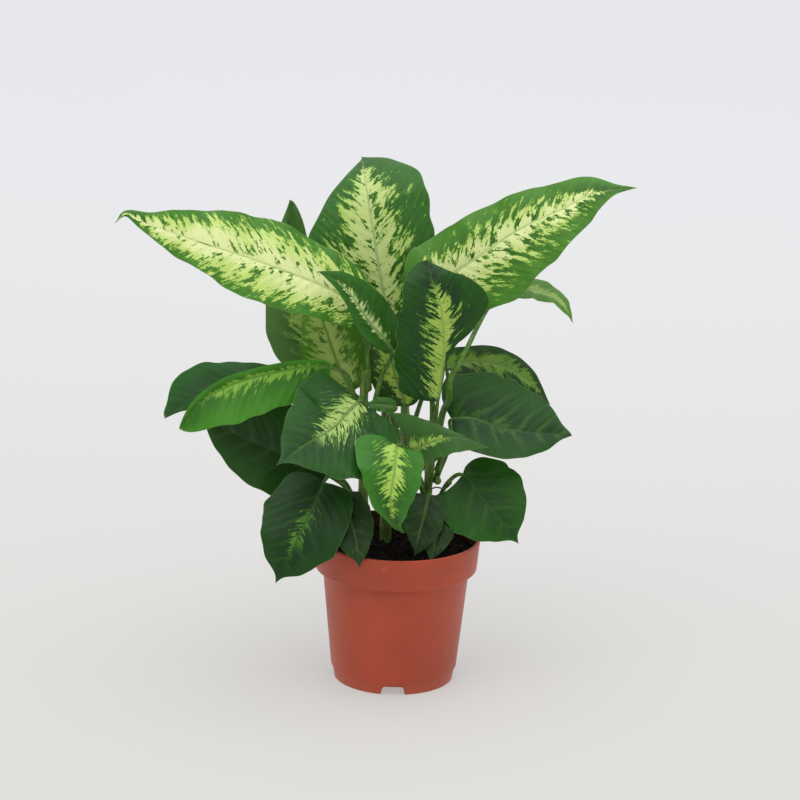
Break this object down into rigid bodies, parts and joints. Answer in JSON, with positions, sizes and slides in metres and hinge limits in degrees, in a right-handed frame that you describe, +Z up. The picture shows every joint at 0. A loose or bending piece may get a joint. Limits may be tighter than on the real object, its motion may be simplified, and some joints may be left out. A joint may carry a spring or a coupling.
{
  "type": "potted dieffenbachia",
  "caption": "Bushy foliage plant with broad cream-marked green leaves on upright stems, growing in peat in a round terracotta-coloured plastic nursery pot.",
  "frame": {"origin": "centre of the pot's foot, on the surface it stands on", "axes": "+Z up along the pot's axis; -Y towards the side the plant is seen from; +X to that viewer's right"},
  "size_m": [0.3563, 0.2264, 0.3698],
  "materials": {
    "pot_plastic": "satin",
    "peat": "matte",
    "stem": "satin",
    "leaf_green": "satin",
    "leaf_dark": "satin",
    "leaf_cream": "satin"
  },
  "bodies": {
    "root": {"pot": "pot_plastic", "soil": "peat", "stem_back": "stem", "stem_right": "stem", "stem_left": "stem", "stem_rear": "stem", "leaf_rolled": "leaf_cream", "leaf_crown": "leaf_green", "leaf_west": "leaf_cream", "leaf_east": "leaf_green", "leaf_mast": "leaf_dark", "leaf_young": "leaf_green", "leaf_flag": "leaf_green", "leaf_veil": "leaf_cream", "leaf_far": "leaf_green", "leaf_core": "leaf_green", "leaf_left_high": "leaf_green", "leaf_left_striped": "leaf_green", "leaf_left_low": "leaf_dark", "leaf_left_centre": "leaf_dark", "leaf_low_left": "leaf_dark", "leaf_low_left_inner": "leaf_dark", "leaf_front": "leaf_green", "leaf_front_small": "leaf_green", "leaf_right_broad": "leaf_dark", "leaf_right_back": "leaf_green", "leaf_right_low": "leaf_dark", "leaf_low_right": "leaf_dark", "leaf_low_right_inner": "leaf_dark", "leaf_bract": "leaf_green", "leaf_rear_high": "leaf_green", "leaf_rear_west": "leaf_green", "leaf_rear_east": "leaf_green", "leaf_rear_tall": "leaf_dark", "leaf_rear_left": "leaf_dark", "leaf_rear_right": "leaf_dark", "leaf_rear_low_west": "leaf_green", "leaf_rear_low": "leaf_green", "leaf_rear_low_east": "leaf_green"}
  },
  "joints": []
}
